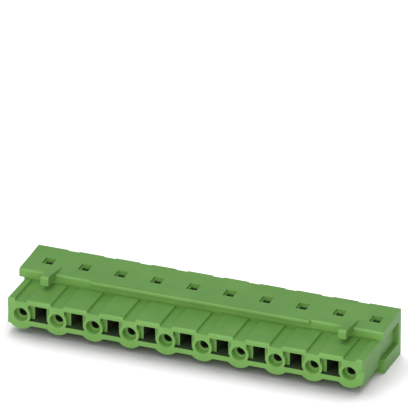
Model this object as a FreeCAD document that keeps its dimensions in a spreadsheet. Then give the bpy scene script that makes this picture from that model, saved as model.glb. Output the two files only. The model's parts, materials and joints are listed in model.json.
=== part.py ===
import FreeCAD, Part
import math
import os
import Sketcher

# A ten-way plug for crimped wires: one moulded housing and ten stamped contacts.
# Origin: the middle of the footprint, on the plane the plug stands on.
# +X runs along the row, +Y from the wire face to the mating face, +Z up.
# Sketches measure y from the wire face; each piece is then moved back by half the depth.

DIMENSIONS = {
    # the row
    "ways": 10, "pitch": 7.62, "axis_height": 4.0,
    "length": 76.2, "depth": 18.7, "front_length": 74.3,
    # front section: tiles, web and barrels
    "web_bottom": 1.85, "tile_top": 7.3, "tile_round": 0.45, "corner_round": 0.5,
    "barrel_radius": 3.05, "tube_radius": 2.05, "neck_half": 1.58,
    "block_front": 1.15, "block_half": 2.58, "pocket_end": 12.0,
    "pocket_floor": 2.9, "pocket_roof": 6.3,
    "groove_half": 1.325, "groove_floor": 6.7, "wall_front": 8.85,
    # wire entry
    "entry_radius": 1.475, "entry_depth": 1.5,
    # mating section
    "foot_front": 9.6, "foot_top": 2.95, "deck_top": 9.45, "back_top": 9.87,
    "riser_front": 14.6, "riser_run": 1.6,
    "nose_front": 8.6, "nose_low": 7.8, "nose_round": 0.5,
    "end_step_back": 17.4, "end_step_top": 7.6,
    "ledge_half": 23.0, "ledge_front": 8.05, "ledge_low": 8.85, "ledge_round": 0.25,
    "notch_half": 1.2, "notch_depth": 0.3,
    # hooks on the deck
    "hook_place": 31.1, "hook_width": 1.65, "hook_front": 4.6, "hook_low": 8.75, "hook_top": 10.6,
    "hook_flat": 5.8, "hook_root": 9.3, "hook_tail": 10.2, "hook_round": 0.45,
    # windows in the deck
    "window_left": 0.45, "window_right": 1.75, "window_front": 12.1, "window_back": 14.6, "window_floor": 9.1,
    "shaft_left": 0.1, "shaft_right": 1.65, "shaft_front": 12.2, "shaft_back": 14.45, "shaft_low": 5.5,
    # contact chamber
    "chamber_half": 0.9, "mating_wall": 0.8, "pin_half": 0.65, "lead_in": 0.35,
    "latch_half": 0.6, "latch_front": 12.6, "latch_back": 14.4, "latch_top": 6.0,
    # stamped contact
    "sheet": 0.2, "box_half": 0.85, "box_length": 6.4, "neck_end": 10.6, "crimp_start": 4.8,
    "core_crimp_end": 7.6, "jacket_crimp_end": 7.0, "neck_low": 0.45,
    "lance_root": 14.3, "lance_tip": 12.7, "lance_half": 0.4, "lance_rise": 0.6, "lance_gap": 0.1,
    "leaf_start": 12.4, "leaf_peak": 15.2, "leaf_end": 17.4, "leaf_half": 0.5, "leaf_gap": 0.42,
    "leaf_sheet": 0.14,
}

TOUCH = 0.001  # lengths closer than this are taken as equal


class Size:
    """A length with the sheet expression that gives it."""

    def __init__(self, value, text):
        self.value = value
        self.text = text

    def joined(self, other, sign, value):
        text = other.text if isinstance(other, Size) else repr(other)
        return Size(value, "(" + self.text + " " + sign + " " + text + ")")

    def __add__(self, other):
        return self.joined(other, "+", self.value + number(other))

    def __sub__(self, other):
        return self.joined(other, "-", self.value - number(other))

    def __mul__(self, other):
        return self.joined(other, "*", self.value * number(other))

    def __truediv__(self, other):
        return self.joined(other, "/", self.value / number(other))

    def __neg__(self):
        return Size(-self.value, "(0 - " + self.text + ")")


def number(size):
    return size.value if isinstance(size, Size) else float(size)


def dim(name):
    return Size(DIMENSIONS[name], "dims." + name)


def make_sheet(doc):
    sheet = doc.addObject("Spreadsheet::Sheet", "dims")
    for row, (name, value) in enumerate(DIMENSIONS.items(), start=1):
        sheet.set("A" + str(row), name)
        sheet.set("B" + str(row), str(value))
        sheet.setAlias("B" + str(row), name)
    doc.recompute()
    return sheet


def bind(thing, prop, size):
    """Sets a property from a plain number or binds it to the sheet."""
    if isinstance(size, Size):
        thing.setExpression(prop, size.text)
    else:
        thing.setExpression(prop, repr(float(size)))


def origin_part(body, role):
    return next(part for part in body.Origin.OriginFeatures if part.Role == role)


def new_sketch(body, name, role, shift=(0, 0, 0)):
    """A sketch on one of the body's own planes, moved within it and along its normal."""
    sketch = body.newObject("Sketcher::SketchObject", name)
    sketch.AttachmentSupport = (origin_part(body, role), [""])
    sketch.MapMode = "FlatFace"
    for axis, size in zip("xyz", shift):
        bind(sketch, ".AttachmentOffset.Base." + axis, size)
    return sketch


def place_point(sketch, edge, end, point):
    """Fixes one end of a sketch edge by its two distances from the sketch's origin."""
    for kind, size in zip(("DistanceX", "DistanceY"), point):
        index = sketch.addConstraint(Sketcher.Constraint(kind, -1, 1, edge, end, number(size)))
        if isinstance(size, Size):
            sketch.setExpression("Constraints[" + str(index) + "]", size.text)


def arc_between(start, end, radius, turn):
    """The anticlockwise arc between two points; turn is +1 for a left bend, -1 for a right one."""
    first = FreeCAD.Vector(number(start[0]), number(start[1]), 0)
    last = FreeCAD.Vector(number(end[0]), number(end[1]), 0)
    chord = last - first
    side = FreeCAD.Vector(-chord.y, chord.x, 0).normalize()
    height = max(number(radius) ** 2 - (chord.Length / 2) ** 2, 0) ** 0.5
    centre = (first + last) / 2 + side * height * turn
    if turn < 0:
        first, last = last, first
    angles = [math.atan2(point.y - centre.y, point.x - centre.x) for point in (first, last)]
    ring = Part.Circle(centre, FreeCAD.Vector(0, 0, 1), number(radius))
    return Part.ArcOfCircle(ring, angles[0], angles[1])


def outline(sketch, points, arcs=None):
    """A closed profile; arcs maps the index of a point to (radius, turn) for the edge after it."""
    arcs = arcs or {}
    for index, start in enumerate(points):
        end = points[(index + 1) % len(points)]
        if index in arcs:
            radius, turn = arcs[index]
            edge = sketch.addGeometry(arc_between(start, end, radius, turn), False)
            if turn < 0:
                start, end = end, start
            limit = sketch.addConstraint(Sketcher.Constraint("Radius", edge, number(radius)))
            if isinstance(radius, Size):
                sketch.setExpression("Constraints[" + str(limit) + "]", radius.text)
        else:
            first = FreeCAD.Vector(number(start[0]), number(start[1]), 0)
            last = FreeCAD.Vector(number(end[0]), number(end[1]), 0)
            edge = sketch.addGeometry(Part.LineSegment(first, last), False)
        place_point(sketch, edge, 1, start)
        place_point(sketch, edge, 2, end)


def rectangle(sketch, left, right, low, high):
    outline(sketch, [(left, low), (right, low), (right, high), (left, high)])


def circle(sketch, radius):
    """A circle about the sketch's own origin."""
    disc = Part.Circle(FreeCAD.Vector(0, 0, 0), FreeCAD.Vector(0, 0, 1), number(radius))
    edge = sketch.addGeometry(disc, False)
    sketch.addConstraint(Sketcher.Constraint("Coincident", edge, 3, -1, 1))
    limit = sketch.addConstraint(Sketcher.Constraint("Radius", edge, number(radius)))
    if isinstance(radius, Size):
        sketch.setExpression("Constraints[" + str(limit) + "]", radius.text)


def checked(body, feature, adds):
    """Recomputes and makes sure that the feature added or removed material."""
    before = 0.0 if body.Tip is None or body.Tip.Shape.isNull() else body.Tip.Shape.Volume
    if body.Tip is feature:
        before = feature.BaseFeature.Shape.Volume if feature.BaseFeature else 0.0
    body.Tip = feature
    body.Document.recompute()
    change = feature.Shape.Volume - before
    print("%-22s %+10.2f mm3" % (feature.Name, change))
    if (change > 0) != adds or abs(change) < 1e-6:
        raise ValueError(feature.Name + " points the wrong way")
    return feature


def pad(body, name, sketch, size, reverse=False, both=False):
    feature = body.newObject("PartDesign::Pad", name)
    feature.Profile = sketch
    bind(feature, "Length", size)
    feature.Reversed = reverse
    feature.SideType = "Symmetric" if both else "One side"
    return checked(body, feature, True)


def pocket(body, name, sketch, size, reverse=False, both=False, taper=0.0):
    feature = body.newObject("PartDesign::Pocket", name)
    feature.Profile = sketch
    bind(feature, "Length", size)
    feature.Reversed = reverse
    feature.SideType = "Symmetric" if both else "One side"
    feature.TaperAngle = taper
    return checked(body, feature, False)


def row_of(body, name, originals, count, adds):
    """Repeats features along the row at the pitch."""
    feature = body.newObject("PartDesign::LinearPattern", name)
    feature.Originals = originals
    feature.Direction = (origin_part(body, "X_Axis"), [""])
    bind(feature, "Length", dim("pitch") * (count - 1))
    feature.setExpression("Occurrences", count.text)
    return checked(body, feature, adds)


def mirror(body, name, originals, adds):
    feature = body.newObject("PartDesign::Mirrored", name)
    feature.Originals = originals
    feature.MirrorPlane = (origin_part(body, "YZ_Plane"), [""])
    return checked(body, feature, adds)


def first_axis():
    """Where the first wire entry is along the row."""
    return -(dim("pitch") * (dim("ways") - 1) / 2)


def first_gap():
    """Halfway between the first two wire entries."""
    return first_axis() + dim("pitch") / 2


def mating_section(body):
    """The part that goes into the header, with its foot, its stepped deck and a rounded nose."""
    sketch = new_sketch(body, "mating_profile", "YZ_Plane")
    points = [
        (dim("foot_front"), 0), (dim("depth"), 0), (dim("depth"), dim("back_top")),
        (dim("riser_front") + dim("riser_run"), dim("back_top")), (dim("riser_front"), dim("deck_top")),
        (dim("nose_front") + dim("nose_round"), dim("deck_top")),
        (dim("nose_front"), dim("deck_top") - dim("nose_round")),
        (dim("nose_front"), dim("nose_low")), (dim("wall_front"), dim("tile_top")),
        (dim("wall_front"), dim("foot_top")), (dim("foot_front"), dim("foot_top")),
    ]
    outline(sketch, points, {5: (dim("nose_round"), 1)})
    pad(body, "mating_block", sketch, dim("length"), both=True)


def front_section(body):
    """Web, tiles and the solid between them, with a rounded upper front edge."""
    sketch = new_sketch(body, "front_profile", "YZ_Plane")
    points = [
        (0, dim("web_bottom")), (dim("foot_front"), dim("web_bottom")),
        (dim("foot_front"), dim("tile_top")), (dim("tile_round"), dim("tile_top")),
        (0, dim("tile_top") - dim("tile_round")),
    ]
    outline(sketch, points, {3: (dim("tile_round"), 1)})
    block = pad(body, "front_block", sketch, dim("front_length"), both=True)
    rounded_corners(body, block)


def rounded_corners(body, block):
    """Rounds the two upright edges where the wire face meets the ends."""
    corners = []
    for index, edge in enumerate(block.Shape.Edges, start=1):
        box = edge.BoundBox
        upright = box.XLength < TOUCH and box.YLength < TOUCH
        if upright and abs(box.YMin) < TOUCH and abs(abs(box.XMin) - number(dim("front_length")) / 2) < TOUCH:
            corners.append("Edge" + str(index))
    feature = body.newObject("PartDesign::Fillet", "front_corners")
    feature.Base = (block, corners)
    bind(feature, "Radius", dim("corner_round"))
    checked(body, feature, False)


def barrels(body):
    """Round bellies that carry the wire entries below the web."""
    sketch = new_sketch(body, "barrel_circle", "XZ_Plane", (first_axis(), dim("axis_height"), 0))
    circle(sketch, dim("barrel_radius"))
    first = pad(body, "barrel", sketch, dim("foot_front"), reverse=True)
    row_of(body, "barrels", [first], dim("ways"), True)


def tile_groove(body):
    """A shallow groove over a barrel; a tile is left over each pocket."""
    sketch = new_sketch(body, "groove_rectangle", "XZ_Plane", (first_axis(), 0, 0))
    rectangle(sketch, -dim("groove_half"), dim("groove_half"), dim("groove_floor"), dim("tile_top"))
    return pocket(body, "tile_groove", sketch, dim("wall_front"))


def tube_relief(body):
    """Sinks the front between two entries, so that their tubes stand proud with a neck above."""
    sketch = new_sketch(body, "relief_outline", "XZ_Plane", (first_axis(), dim("axis_height"), 0))
    radius = dim("tube_radius")
    low = dim("pocket_floor") - dim("axis_height")
    high = dim("pocket_roof") - dim("axis_height")
    neck = dim("neck_half")
    low_cut = Size((radius.value ** 2 - low.value ** 2) ** 0.5,
                   "sqrt(" + radius.text + "^2 - " + low.text + "^2)")
    neck_cut = Size((radius.value ** 2 - neck.value ** 2) ** 0.5,
                    "sqrt(" + radius.text + "^2 - " + neck.text + "^2)")
    pitch = dim("pitch")
    points = [
        (low_cut, low), (pitch - low_cut, low), (pitch - neck, neck_cut),
        (pitch - neck, high), (neck, high), (neck, neck_cut),
    ]
    outline(sketch, points, {1: (radius, -1), 5: (radius, -1)})
    return pocket(body, "tube_relief", sketch, dim("block_front"))


def core_pocket(body):
    """A deep cored pocket between two wire passages."""
    sketch = new_sketch(body, "pocket_rectangle", "XZ_Plane", (first_gap(), 0, -dim("block_front")))
    half = dim("pitch") / 2 - dim("block_half")
    rectangle(sketch, -half, half, dim("pocket_floor"), dim("pocket_roof"))
    return pocket(body, "core_pocket", sketch, dim("pocket_end") - dim("block_front"))


def wire_entry(body):
    """The round entry that a wire's jacket fills."""
    sketch = new_sketch(body, "entry_circle", "XZ_Plane", (first_axis(), dim("axis_height"), 0))
    circle(sketch, dim("entry_radius"))
    return pocket(body, "wire_entry", sketch, dim("entry_depth"))


def chamber(body):
    """A square passage for the contact, closed by a mating wall with a pin opening."""
    start = (first_axis(), dim("axis_height"), -dim("entry_depth"))
    sketch = new_sketch(body, "chamber_square", "XZ_Plane", start)
    half = dim("chamber_half")
    rectangle(sketch, -half, half, -half, half)
    passage = pocket(body, "chamber", sketch, contact_front() - dim("entry_depth"))

    back = (first_axis(), dim("axis_height"), -dim("depth"))
    sketch = new_sketch(body, "pin_square", "XZ_Plane", back)
    half = dim("pin_half")
    rectangle(sketch, -half, half, -half, half)
    opening = pocket(body, "pin_opening", sketch, dim("mating_wall"), reverse=True)

    sketch = new_sketch(body, "mouth_square", "XZ_Plane", back)
    half = dim("pin_half") + dim("lead_in")
    rectangle(sketch, -half, half, -half, half)
    mouth = pocket(body, "pin_lead_in", sketch, dim("lead_in"), reverse=True, taper=-45.0)
    return [passage, opening, mouth]


def window(body):
    """A sunk window in the deck with a shaft down to the contact's latch seat."""
    sketch = new_sketch(body, "window_rectangle", "XY_Plane", (first_axis(), 0, dim("back_top")))
    rectangle(sketch, -dim("window_left"), dim("window_right"),
              dim("window_front"), dim("window_back"))
    sunk = pocket(body, "window", sketch, dim("back_top") - dim("window_floor"))

    sketch = new_sketch(body, "shaft_rectangle", "XY_Plane", (first_axis(), 0, dim("back_top")))
    rectangle(sketch, -dim("shaft_left"), dim("shaft_right"), dim("shaft_front"), dim("shaft_back"))
    shaft = pocket(body, "window_shaft", sketch, dim("back_top") - dim("shaft_low"))

    sketch = new_sketch(body, "latch_rectangle", "XY_Plane", (first_axis(), 0, dim("latch_top")))
    half = dim("latch_half")
    rectangle(sketch, -half, half, dim("latch_front"), dim("latch_back"))
    seat = pocket(body, "latch_seat", sketch, dim("latch_top") - dim("axis_height"))
    return [sunk, shaft, seat]


def back_notch(body):
    """A shallow upright groove on the mating face between two contacts."""
    sketch = new_sketch(body, "notch_rectangle", "XY_Plane", (first_gap(), 0, 0))
    rectangle(sketch, -dim("notch_half"), dim("notch_half"),
              dim("depth") - dim("notch_depth"), dim("depth") + dim("notch_depth"))
    return pocket(body, "back_notch", sketch, dim("back_top"), reverse=True)


def end_steps(body):
    """Steps in both ends, flush with the front section and framed by foot, deck and back rim."""
    sketch = new_sketch(body, "end_rectangle", "YZ_Plane", (0, 0, dim("length") / 2))
    rectangle(sketch, dim("nose_front"), dim("end_step_back"), dim("foot_top"), dim("end_step_top"))
    first = pocket(body, "end_step", sketch, (dim("length") - dim("front_length")) / 2)
    mirror(body, "end_steps", [first], False)


def deck_ledge(body):
    """A thin proud edge along the middle of the deck."""
    sketch = new_sketch(body, "ledge_profile", "YZ_Plane")
    rounding = dim("ledge_round")
    points = [
        (dim("ledge_front"), dim("ledge_low")), (dim("wall_front"), dim("ledge_low")),
        (dim("wall_front"), dim("deck_top")), (dim("ledge_front") + rounding, dim("deck_top")),
        (dim("ledge_front"), dim("deck_top") - rounding),
    ]
    outline(sketch, points, {3: (rounding, 1)})
    pad(body, "deck_ledge", sketch, dim("ledge_half") * 2, both=True)


def hooks(body):
    """Two hooks that reach forward over the tiles from the deck."""
    sketch = new_sketch(body, "hook_profile", "YZ_Plane", (0, 0, dim("hook_place")))
    rounding = dim("hook_round")
    points = [
        (dim("hook_front"), dim("hook_low")), (dim("hook_root"), dim("hook_low")),
        (dim("hook_tail"), dim("deck_top")), (dim("hook_flat"), dim("hook_top")),
        (dim("hook_front") + rounding, dim("hook_top")),
        (dim("hook_front"), dim("hook_top") - rounding),
    ]
    outline(sketch, points, {4: (rounding, 1)})
    first = pad(body, "hook", sketch, dim("hook_width"), both=True)
    mirror(body, "hooks", [first], True)


def make_housing(doc):
    body = doc.addObject("PartDesign::Body", "housing")
    body.Label = "housing"
    mating_section(body)
    front_section(body)
    barrels(body)
    deck_ledge(body)
    hooks(body)
    end_steps(body)
    per_way = [tile_groove(body), wire_entry(body)] + chamber(body) + window(body)
    row_of(body, "ways", per_way, dim("ways"), False)
    per_gap = [tube_relief(body), core_pocket(body), back_notch(body)]
    row_of(body, "gaps", per_gap, dim("ways") - 1, False)
    bind(body, "Placement.Base.y", -dim("depth") / 2)
    return body


def contact_front():
    """The inner side of the mating wall, where a contact's box comes to rest."""
    return dim("depth") - dim("mating_wall")


def contact_floor():
    return dim("axis_height") - dim("chamber_half")


def contact_box(body):
    """The receptacle: a square tube of sheet."""
    sketch = new_sketch(body, "box_squares", "XZ_Plane", (0, contact_floor(), -contact_front()))
    outer = dim("box_half")
    inner = outer - dim("sheet")
    rectangle(sketch, -outer, outer, 0, outer * 2)
    rectangle(sketch, -inner, inner, dim("sheet"), outer * 2 - dim("sheet"))
    pad(body, "box", sketch, dim("box_length"))


def contact_crimps(body):
    """An open trough behind the box, cut away to a neck and two pairs of crimp wings."""
    box_start = contact_front() - dim("box_length")
    sketch = new_sketch(body, "trough_profile", "XZ_Plane", (0, contact_floor(), -box_start))
    outer = dim("box_half")
    inner = outer - dim("sheet")
    top = outer * 2
    points = [(-outer, top), (-outer, outer), (0, 0), (outer, outer), (outer, top),
              (inner, top), (inner, outer), (0, dim("sheet")), (-inner, outer), (-inner, top)]
    outline(sketch, points, {1: (outer, 1), 2: (outer, 1), 6: (inner, -1), 7: (inner, -1)})
    pad(body, "trough", sketch, box_start - dim("crimp_start"))

    sketch = new_sketch(body, "wing_gaps", "YZ_Plane", (0, contact_floor(), 0))
    low = dim("neck_low")
    slant = dim("sheet")
    points = [(dim("neck_end"), low), (box_start, low), (box_start, top), (dim("neck_end") - slant, top)]
    outline(sketch, points)
    points = [(dim("jacket_crimp_end"), low), (dim("core_crimp_end"), low),
              (dim("core_crimp_end") + slant, top), (dim("jacket_crimp_end") - slant, top)]
    outline(sketch, points)
    across = outer * 4
    pocket(body, "wings", sketch, across, both=True)


def contact_lance(body):
    """A tongue bent up out of the box's roof, which latches behind the seat's front edge."""
    roof = dim("box_half") * 2
    sketch = new_sketch(body, "lance_opening", "XY_Plane", (0, 0, contact_floor() + roof))
    half = dim("lance_half") + dim("lance_gap")
    rectangle(sketch, -half, half, dim("lance_tip"), dim("lance_root"))
    pocket(body, "lance_slot", sketch, dim("sheet"))

    sketch = new_sketch(body, "lance_profile", "YZ_Plane", (0, contact_floor(), 0))
    tip = roof + dim("lance_rise")
    root = dim("lance_root") + dim("lance_gap")
    points = [(dim("lance_tip"), tip - dim("sheet")), (root, roof - dim("sheet")),
              (root, roof), (dim("lance_tip"), tip)]
    outline(sketch, points)
    pad(body, "lance", sketch, dim("lance_half") * 2, both=True)


def contact_leaves(body):
    """Two bowed leaves inside the box that grip the header's pin."""
    sketch = new_sketch(body, "leaf_profiles", "YZ_Plane", (0, contact_floor() + dim("box_half"), 0))
    wall = dim("box_half") - dim("sheet") / 2
    gap = dim("leaf_gap")
    sheet = dim("leaf_sheet")
    end = wall - sheet
    for side in (1, -1):
        outer = [(dim("leaf_start"), wall * side), (dim("leaf_peak"), (gap + sheet) * side),
                 (dim("leaf_end"), end * side)]
        inner = [(dim("leaf_end"), (end - sheet) * side), (dim("leaf_peak"), gap * side),
                 (dim("leaf_start"), (wall - sheet) * side)]
        outline(sketch, outer + inner)
    pad(body, "leaves", sketch, dim("leaf_half") * 2, both=True)


def make_contact(doc, index):
    body = doc.addObject("PartDesign::Body", "contact_%02d" % (index + 1))
    body.Label = body.Name
    contact_box(body)
    contact_crimps(body)
    contact_lance(body)
    contact_leaves(body)
    bind(body, "Placement.Base.x", first_axis() + dim("pitch") * index)
    bind(body, "Placement.Base.y", -dim("depth") / 2)
    return body


def check_objects(doc, pieces):
    for thing in doc.Objects:
        if "Invalid" in thing.State or "Error" in thing.State:
            raise ValueError(thing.Name + " failed: " + str(thing.State))
    for piece in pieces:
        if piece.Shape.isNull() or not piece.Shape.isValid() or len(piece.Shape.Solids) != 1:
            raise ValueError(piece.Label + " is not one valid solid")


def main():
    doc = FreeCAD.newDocument("crimp_plug")
    make_sheet(doc)
    pieces = [make_housing(doc)]
    pieces += [make_contact(doc, index) for index in range(DIMENSIONS["ways"])]
    doc.recompute()
    check_objects(doc, pieces)
    os.makedirs("parts", exist_ok=True)
    for piece in pieces:
        piece.Shape.exportStep("parts/" + piece.Label + ".step")
        print(piece.Label, round(piece.Shape.Volume, 2), "mm3")


main()
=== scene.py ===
import bpy
import json
import math
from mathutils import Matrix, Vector

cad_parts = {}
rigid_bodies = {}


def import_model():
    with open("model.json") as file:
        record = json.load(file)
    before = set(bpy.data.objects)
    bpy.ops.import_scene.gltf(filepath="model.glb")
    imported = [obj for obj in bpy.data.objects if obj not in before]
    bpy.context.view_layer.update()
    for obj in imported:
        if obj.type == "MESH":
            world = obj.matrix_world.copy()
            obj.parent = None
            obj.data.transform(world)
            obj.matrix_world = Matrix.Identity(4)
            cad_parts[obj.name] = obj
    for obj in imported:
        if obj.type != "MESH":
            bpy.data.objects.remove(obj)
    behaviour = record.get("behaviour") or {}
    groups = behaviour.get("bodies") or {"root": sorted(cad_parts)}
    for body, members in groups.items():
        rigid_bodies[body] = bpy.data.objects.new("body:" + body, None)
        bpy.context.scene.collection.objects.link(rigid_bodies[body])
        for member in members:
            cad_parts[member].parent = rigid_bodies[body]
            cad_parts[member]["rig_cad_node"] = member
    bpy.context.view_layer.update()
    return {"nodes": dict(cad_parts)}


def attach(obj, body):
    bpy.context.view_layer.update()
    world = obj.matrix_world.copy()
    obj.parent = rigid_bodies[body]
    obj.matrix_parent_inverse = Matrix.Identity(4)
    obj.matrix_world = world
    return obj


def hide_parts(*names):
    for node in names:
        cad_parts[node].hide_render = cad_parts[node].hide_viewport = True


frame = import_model()

mm = 0.001
mergeMm = 0.001      # corners nearer than this are one
matchMm = 0.02       # a corner this near to a stated place counts as there
print("frame loaded:", len(frame["nodes"]), "nodes")


def hexToLinear(hexText):
    channels = [int(hexText[i:i + 2], 16) / 255 for i in (0, 2, 4)]
    linear = [c / 12.92 if c <= 0.04045 else ((c + 0.055) / 1.055) ** 2.4 for c in channels]
    return (*linear, 1.0)


def addNode(material, kind, settings=None, links=None):
    # settings go to sockets by name or to the node itself, links are {input: output socket}
    node = material.node_tree.nodes.new(kind)
    for name, value in (settings or {}).items():
        if name in node.inputs:
            node.inputs[name].default_value = value
        else:
            setattr(node, name, value)
    for name, output in (links or {}).items():
        material.node_tree.links.new(output, node.inputs[name])
    return node


def newMaterial(name):
    material = bpy.data.materials.new(name)
    material.use_nodes = True
    return material, material.node_tree.nodes["Principled BSDF"]


def link(material, output, socket):
    material.node_tree.links.new(output, socket)


def setRamp(ramp, places, hexTexts):
    for element, place, hexText in zip(ramp.color_ramp.elements, places, hexTexts):
        element.position = place
        element.color = hexToLinear(hexText)


# Moulded polyamide: dyed through, and satin from a lightly spark-eroded mould
polyamide = {
    "skin": ("5A8A40", "54843B"),     # the body colour, and its faint darker clouds
    "hollowShade": ("1F3516", "1B2E13"),     # painted shade deep in the holes, darker than the plastic is
    "cloudMm": 6.0,                   # size of the clouds
    "cloudDetail": 3.0,
    "cloudRoughness": 0.5,
    "cloudRamp": (0.35, 0.65),
    "grainMm": 0.35,                  # mould texture, really 0.03 mm, coarser here to show
    "grainDetail": 2.0,
    "grainHeightMm": 0.004,
    "grainStrength": 0.35,
    "skinRoughness": 0.48,
    "hollowShadeRoughness": 0.8,
    "smoother": 0.04,                 # the roughness follows the clouds, down by this
    "rougher": 0.06,                  # and up by this
    "specular": 0.35,
    "ior": 1.53,
}


def makePolyamide(name, colours, roughness):
    material, shader = newMaterial(name)
    place = addNode(material, "ShaderNodeTexCoord")
    clouds = addNode(material, "ShaderNodeTexNoise",
                     {"Scale": 1 / (polyamide["cloudMm"] * mm), "Detail": polyamide["cloudDetail"],
                      "Roughness": polyamide["cloudRoughness"]},
                     {"Vector": place.outputs["Object"]})
    shade = addNode(material, "ShaderNodeValToRGB", None, {"Fac": clouds.outputs["Fac"]})
    setRamp(shade, polyamide["cloudRamp"], (colours[1], colours[0]))
    grain = addNode(material, "ShaderNodeTexNoise",
                    {"Scale": 1 / (polyamide["grainMm"] * mm), "Detail": polyamide["grainDetail"]},
                    {"Vector": place.outputs["Object"]})
    bump = addNode(material, "ShaderNodeBump",
                   {"Strength": polyamide["grainStrength"], "Distance": polyamide["grainHeightMm"] * mm},
                   {"Height": grain.outputs["Fac"]})
    sheen = addNode(material, "ShaderNodeMapRange",
                    {"To Min": roughness - polyamide["smoother"],
                     "To Max": roughness + polyamide["rougher"]},
                    {"Value": clouds.outputs["Fac"]})
    link(material, shade.outputs["Color"], shader.inputs["Base Color"])
    link(material, sheen.outputs["Result"], shader.inputs["Roughness"])
    link(material, bump.outputs["Normal"], shader.inputs["Normal"])
    shader.inputs["IOR"].default_value = polyamide["ior"]
    shader.inputs["Specular IOR Level"].default_value = polyamide["specular"]
    return material


# Tin plated copper alloy: dull silver with faint rolling lines along the strip
tin = {
    "light": "C9C8C2",
    "dull": "A9A8A2",
    "ramp": (0.3, 0.7),
    "lineMm": 0.08,                   # between lines
    "lineStretch": 0.06,              # the pattern's scale along the strip, low so that lines run long
    "lineDetail": 3.0,
    "lineHeightMm": 0.003,
    "lineStrength": 0.2,
    "roughness": 0.32,
}


def makeTinPlate():
    material, shader = newMaterial("tinPlatedCopperAlloy")
    place = addNode(material, "ShaderNodeTexCoord")
    stretch = addNode(material, "ShaderNodeMapping", {"Scale": (1.0, tin["lineStretch"], 1.0)},
                      {"Vector": place.outputs["Object"]})
    lines = addNode(material, "ShaderNodeTexNoise",
                    {"Scale": 1 / (tin["lineMm"] * mm), "Detail": tin["lineDetail"]},
                    {"Vector": stretch.outputs["Vector"]})
    tone = addNode(material, "ShaderNodeValToRGB", None, {"Fac": lines.outputs["Fac"]})
    setRamp(tone, tin["ramp"], (tin["dull"], tin["light"]))
    bump = addNode(material, "ShaderNodeBump",
                   {"Strength": tin["lineStrength"], "Distance": tin["lineHeightMm"] * mm},
                   {"Height": lines.outputs["Fac"]})
    link(material, tone.outputs["Color"], shader.inputs["Base Color"])
    link(material, bump.outputs["Normal"], shader.inputs["Normal"])
    shader.inputs["Metallic"].default_value = 1.0
    shader.inputs["Roughness"].default_value = tin["roughness"]
    return material


def giveMaterial(piece, material):
    piece.data.materials.clear()
    piece.data.materials.append(material)


def deselectAll():
    bpy.ops.object.select_all(action="DESELECT")


# The row of ways
row = {"ways": 10, "pitchMm": 7.62, "wireFaceMm": -9.35, "axisHeightMm": 4.0}


def nearestWay(point, offset=0.0):
    # its number, and how far aside of it the point is in mm; offset is in pitches
    along = point.x / mm / row["pitchMm"] + (row["ways"] - 1) / 2 - offset
    return round(along), (along - round(along)) * row["pitchMm"]


def behindMm(point):
    # from the wire face
    return point.y / mm - row["wireFaceMm"]


def pickCorners(piece, belongs):
    # leaves edit mode on with these corners selected
    bpy.ops.object.mode_set(mode="EDIT")
    bpy.ops.mesh.select_mode(type="VERT")
    bpy.ops.mesh.select_all(action="DESELECT")
    bpy.ops.object.mode_set(mode="OBJECT")
    for corner in piece.data.vertices:
        corner.select = belongs(corner.co)
    bpy.ops.object.mode_set(mode="EDIT")


def pickFaces(piece, belongs):
    bpy.ops.object.mode_set(mode="EDIT")
    bpy.ops.mesh.select_mode(type="FACE")
    bpy.ops.mesh.select_all(action="DESELECT")
    bpy.ops.object.mode_set(mode="OBJECT")
    for face in piece.data.polygons:
        face.select = belongs(face)
    bpy.ops.object.mode_set(mode="EDIT")


# The front section's ends: the outermost barrels are flush with them and round off at the wire face
frontEnds = {
    "halfLengthMm": 37.15,
    "backMm": 8.5,
    # along the row from, to, and moved back by
    "roundSteps": [(36.7, 36.95, 0.06), (36.95, 37.12, 0.2), (37.12, 37.2, 0.5)],
}


def roundBarrelEnds(housing):
    half = frontEnds["halfLengthMm"]
    for side in (-1, 1):
        pickCorners(housing, lambda point: side * point.x / mm > half
                    and behindMm(point) < frontEnds["backMm"])
        bpy.ops.transform.resize(value=(0, 1, 1), center_override=(side * half * mm, 0, 0))
    for nearMm, farMm, backMm in frontEnds["roundSteps"]:
        pickCorners(housing, lambda point: nearMm < abs(point.x) / mm < farMm
                    and behindMm(point) < mergeMm)
        bpy.ops.transform.translate(value=(0, backMm * mm, 0))
    print("barrel ends rounded")


# The grooves between the tiles, a little shallower than the solid's and with sloping sides
grooves = {"halfMm": 1.325, "floorMm": 6.7, "liftMm": 0.1, "slopeMm": 0.15}


def softenGrooves(housing):
    for side in (-1, 1):
        edge = side * grooves["halfMm"]
        pickCorners(housing, lambda point: abs(point.z / mm - grooves["floorMm"]) < matchMm
                    and abs(nearestWay(point)[1] - edge) < matchMm)
        bpy.ops.transform.translate(
            value=(-side * grooves["slopeMm"] * mm, 0, grooves["liftMm"] * mm))
    print("tile grooves softened")


# The deck rises evenly to the back: how far behind its corners stand, and how far up or down they go
deck = {
    "lowMm": 9.44,
    "highMm": 9.88,
    "rises": [(10.2, 0.03), (12.1, 0.08), (14.6, 0.15), (16.2, -0.13)],
}


def levelDeck(housing):
    for behind, riseMm in deck["rises"]:
        pickCorners(housing, lambda point: deck["lowMm"] < point.z / mm < deck["highMm"]
                    and abs(behindMm(point) - behind) < matchMm)
        bpy.ops.transform.translate(value=(0, 0, riseMm * mm))
    print("deck levelled")


# Each hook's slope ends on the deck, further back than on the solid and so a little higher
hookTails = {"behindMm": 10.2, "lowMm": 9.4, "backMm": 1.8, "riseMm": 0.049}


def stretchHookTails(housing):
    pickCorners(housing, lambda point: point.z / mm > hookTails["lowMm"]
                and abs(behindMm(point) - hookTails["behindMm"]) < matchMm)
    bpy.ops.transform.translate(value=(0, hookTails["backMm"] * mm, hookTails["riseMm"] * mm))
    print("hook tails stretched")


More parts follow.
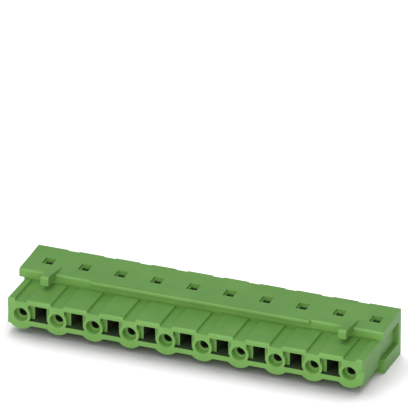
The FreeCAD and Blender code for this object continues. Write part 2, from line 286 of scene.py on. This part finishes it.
# The collar in each wire entry: a shoulder with a round throat, as rings of radius and depth in mm
collar = {
    "rings": [(1.49, 1.42), (1.02, 1.42), (0.93, 1.48), (0.9, 1.6), (0.9, 1.95), (1.49, 1.95)],
    "sides": 48,
}


def makeCollar():
    radius, depth = collar["rings"][0]
    firstWay = -row["pitchMm"] * (row["ways"] - 1) / 2
    place = Vector((firstWay, row["wireFaceMm"] + depth, row["axisHeightMm"])) * mm
    bpy.ops.mesh.primitive_circle_add(vertices=collar["sides"], radius=radius * mm, location=place,
                                      rotation=(math.radians(90), 0, 0))
    piece = bpy.context.view_layer.objects.active
    bpy.ops.object.mode_set(mode="EDIT")
    bpy.ops.mesh.select_mode(type="EDGE")
    bpy.ops.mesh.select_all(action="SELECT")
    for nextRadius, nextDepth in collar["rings"][1:] + collar["rings"][:1]:     # closes on the first
        move = (0, (nextDepth - depth) * mm, 0)
        bpy.ops.mesh.extrude_region_move(TRANSFORM_OT_translate={"value": move})
        bpy.ops.transform.resize(value=(nextRadius / radius, 1, nextRadius / radius))
        radius, depth = nextRadius, nextDepth
    bpy.ops.mesh.select_all(action="SELECT")
    bpy.ops.mesh.remove_doubles(threshold=mergeMm * mm)
    bpy.ops.mesh.normals_make_consistent(inside=False)
    bpy.ops.object.mode_set(mode="OBJECT")
    return piece


def addCollars(housing):
    deselectAll()
    collars = [makeCollar()]
    for way in range(1, row["ways"]):
        bpy.ops.object.duplicate()
        bpy.ops.transform.translate(value=(row["pitchMm"] * mm, 0, 0))
        collars.append(bpy.context.view_layer.objects.active)
    for piece in collars + [housing]:
        piece.select_set(True)
    bpy.context.view_layer.objects.active = housing
    bpy.ops.object.join()
    print("collars joined:", len(collars))


# Where the mould's core pins stood, the hollows whose walls get painted shade, in mm: aside of a way's
# axis, behind the wire face, and in height
shadedHollows = {
    "passage": {"offset": 0.0, "count": 10,
                "aside": (-0.95, 0.95), "behind": (1.65, 18.0), "height": (3.05, 4.95)},
    "shaft": {"offset": 0.0, "count": 10,
              "aside": (-0.15, 1.7), "behind": (12.15, 14.5), "height": (4.8, 8.6)},
    "pocket": {"offset": 0.5, "count": 9,           # half a pitch on, between two ways
               "aside": (-1.28, 1.28), "behind": (1.3, 12.1), "height": (2.85, 6.35)},
}


def inShadedHollow(point, name):
    hollowShade = shadedHollows[name]
    way, asideMm = nearestWay(point, hollowShade["offset"])
    return (0 <= way < hollowShade["count"] and hollowShade["aside"][0] < asideMm < hollowShade["aside"][1]
            and hollowShade["behind"][0] < behindMm(point) < hollowShade["behind"][1]
            and hollowShade["height"][0] < point.z / mm < hollowShade["height"][1])


# The window shafts' upright walls are parted where the painted shade begins
shaftSplit = {"topMm": shadedHollows["shaft"]["height"][1], "probeBelowMm": 0.1, "uprightWithin": 0.1}


def splitShafts(housing):
    top = shaftSplit["topMm"]

    def isWall(face):
        probe = Vector((face.center.x, face.center.y, (top - shaftSplit["probeBelowMm"]) * mm))
        heights = [housing.data.vertices[index].co.z / mm for index in face.vertices]
        return (inShadedHollow(probe, "shaft") and abs(face.normal.z) < shaftSplit["uprightWithin"]
                and min(heights) < top < max(heights))

    pickFaces(housing, isWall)
    bpy.ops.mesh.bisect(plane_co=(0, 0, top * mm), plane_no=(0, 0, 1))
    bpy.ops.object.mode_set(mode="OBJECT")
    print("window shafts split")


# Faces deep in the hollows get the darker second material: painted shade, darker than the real plastic
def paintHollowShade(housing, material):
    housing.data.materials.append(material)
    painted = 0
    for face in housing.data.polygons:
        if any(inShadedHollow(face.center, name) for name in shadedHollows):
            face.material_index = 1
            painted += 1
    print("core walls painted:", painted)


# The housing as it leaves the mould: every outer edge has a small radius
mouldEdges = {
    "radiusMm": 0.16,
    "segments": 2,
    "sharpestDeg": 35,      # edges that turn by less stay as they are
    "smoothDeg": 35,
    "flatDeg": 1.0,         # faces that turn by less are one flat face
}


def finishHousing(material, hollowShadeMaterial):
    cadHousing = frame["nodes"]["housing"]
    deselectAll()
    cadHousing.select_set(True)
    bpy.context.view_layer.objects.active = cadHousing
    bpy.ops.object.duplicate()
    housing = bpy.context.view_layer.objects.active
    housing.name = "mouldedHousing"
    del housing["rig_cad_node"]
    bpy.ops.object.mode_set(mode="EDIT")
    bpy.ops.mesh.select_all(action="SELECT")
    bpy.ops.mesh.remove_doubles(threshold=mergeMm * mm)
    roundBarrelEnds(housing)
    softenGrooves(housing)
    levelDeck(housing)
    bpy.ops.mesh.select_all(action="SELECT")
    bpy.ops.mesh.dissolve_limited(angle_limit=math.radians(mouldEdges["flatDeg"]))
    stretchHookTails(housing)
    bpy.ops.mesh.select_all(action="SELECT")
    bpy.ops.mesh.normals_make_consistent(inside=False)
    bpy.ops.object.mode_set(mode="OBJECT")
    bevel = housing.modifiers.new("mouldRadius", "BEVEL")
    bevel.width = mouldEdges["radiusMm"] * mm
    bevel.segments = mouldEdges["segments"]
    bevel.limit_method = "ANGLE"
    bevel.angle_limit = math.radians(mouldEdges["sharpestDeg"])
    bpy.ops.object.modifier_apply(modifier="mouldRadius")
    splitShafts(housing)
    addCollars(housing)
    bpy.ops.object.shade_smooth_by_angle(angle=math.radians(mouldEdges["smoothDeg"]))
    flatness = housing.modifiers.new("flatFaces", "WEIGHTED_NORMAL")
    flatness.keep_sharp = True
    bpy.ops.object.modifier_apply(modifier="flatFaces")
    giveMaterial(housing, material)
    # painted shade on the walls deep in the holes
    paintHollowShade(housing, hollowShadeMaterial)
    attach(housing, "root")
    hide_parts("housing")
    print("housing finished:", len(housing.data.polygons), "faces")
    return housing


def finishContacts(material):
    contacts = [node for name, node in frame["nodes"].items() if name.startswith("contact_")]
    for contact in contacts:
        giveMaterial(contact, material)
    print("contacts finished:", len(contacts))
    return contacts


# A white table in a light tent: the part and the table have their own softboxes
studio = {
    "floorHex": "F4F0F4",
    "floorSizeM": 4.0,
    "floorRoughness": 0.9,
    "floorSpecular": 0.1,
    "tentStrength": 0.57,
    # place and size in mm, power in watts, colour, and what it lights
    "softboxes": {
        "overheadSoftbox": ((0, -420, 820), 700, 6.2, "FFFFFF", "part"),
        "frontSoftbox": ((-150, -850, 200), 400, 1.9, "FFE5E9", "part"),
        "rightSoftbox": ((380, -840, 130), 400, 3.9, "FFE5E9", "part"),
        "leftSoftbox": ((-500, -750, 200), 400, 1.6, "FFE9EC", "part"),
        "backSoftbox": ((0, 500, 700), 900, 7.4, "FFFFFF", "table"),
        "fillSoftbox": ((-500, 250, 650), 700, 3.4, "FFFFFF", "table"),
    },
}


def addSoftbox(name, placeMm, sizeMm, watts, colour, receivers):
    place = Vector(placeMm) * mm
    bpy.ops.object.light_add(type="AREA", location=place)
    softbox = bpy.context.view_layer.objects.active
    softbox.name = name
    softbox.data.size = sizeMm * mm
    softbox.data.energy = watts
    softbox.data.color = hexToLinear(colour)[:3]
    softbox.rotation_mode = "QUATERNION"
    softbox.rotation_quaternion = (-place).to_track_quat("-Z", "Y")
    softbox.light_linking.receiver_collection = receivers


def makeStudio(partPieces):
    bpy.ops.mesh.primitive_plane_add(size=studio["floorSizeM"], location=(0, 0, 0))
    floor = bpy.context.view_layer.objects.active
    floor.name = "table"
    material, shader = newMaterial("whiteTable")
    shader.inputs["Base Color"].default_value = hexToLinear(studio["floorHex"])
    shader.inputs["Roughness"].default_value = studio["floorRoughness"]
    shader.inputs["Specular IOR Level"].default_value = studio["floorSpecular"]
    giveMaterial(floor, material)

    world = bpy.data.worlds.new("lightTent")
    bpy.context.scene.world = world
    world.use_nodes = True
    tent = world.node_tree.nodes["Background"]
    tent.inputs["Color"].default_value = (1, 1, 1, 1)
    tent.inputs["Strength"].default_value = studio["tentStrength"]

    receivers = {
        "part": bpy.data.collections.new("litPart"),
        "table": bpy.data.collections.new("litTable"),
    }
    receivers["table"].objects.link(floor)
    for piece in partPieces:
        receivers["part"].objects.link(piece)
    for name, (placeMm, sizeMm, watts, colour, lit) in studio["softboxes"].items():
        addSoftbox(name, placeMm, sizeMm, watts, colour, receivers[lit])
    print("studio made")


# The camera stands in front and to the right, fitted so that the part lies as it does in the photo
lens = {
    "azimuthDeg": 21.48,
    "elevationDeg": 27.46,
    "distanceMm": 1603,
    "pixelsPerMm": 5.144,
    "pixelsAcross": 408,
    "anchorMm": (0, -9.35, 4.0),          # the point that the camera was fitted round
    "anchorPixel": (183.51, 343.91),
    "sensorMm": 36.0,
    "nearestM": 0.05,
    "furthestM": 20,
}


def makeCamera():
    azimuth = math.radians(lens["azimuthDeg"])
    elevation = math.radians(lens["elevationDeg"])
    back = Vector((math.sin(azimuth) * math.cos(elevation),
                   -math.cos(azimuth) * math.cos(elevation), math.sin(elevation)))
    right = Vector((math.cos(azimuth), math.sin(azimuth), 0))
    up = back.cross(right)
    place = Vector(lens["anchorMm"]) * mm + back * lens["distanceMm"] * mm
    focalPixels = lens["pixelsPerMm"] * lens["distanceMm"]
    middle = lens["pixelsAcross"] / 2
    aim = (-back + right * (middle - lens["anchorPixel"][0]) / focalPixels
           - up * (middle - lens["anchorPixel"][1]) / focalPixels)
    bpy.ops.object.camera_add(location=place)
    camera = bpy.context.view_layer.objects.active
    camera.rotation_mode = "QUATERNION"
    camera.rotation_quaternion = aim.to_track_quat("-Z", "Y")
    camera.data.sensor_width = lens["sensorMm"]
    camera.data.lens = focalPixels / lens["pixelsAcross"] * lens["sensorMm"]
    camera.data.clip_start = lens["nearestM"]
    camera.data.clip_end = lens["furthestM"]
    bpy.context.scene.camera = camera
    bpy.context.scene.view_settings.view_transform = "Standard"
    print("camera placed, lens %.0f mm" % camera.data.lens)


housing = finishHousing(
    makePolyamide("mouldedPolyamideGreen", polyamide["skin"], polyamide["skinRoughness"]),
    # the darker material is painted shade for the walls deep in the holes
    makePolyamide("paintedShadePolyamideGreen", polyamide["hollowShade"], polyamide["hollowShadeRoughness"]))
contacts = finishContacts(makeTinPlate())
makeStudio([housing] + contacts)
makeCamera()
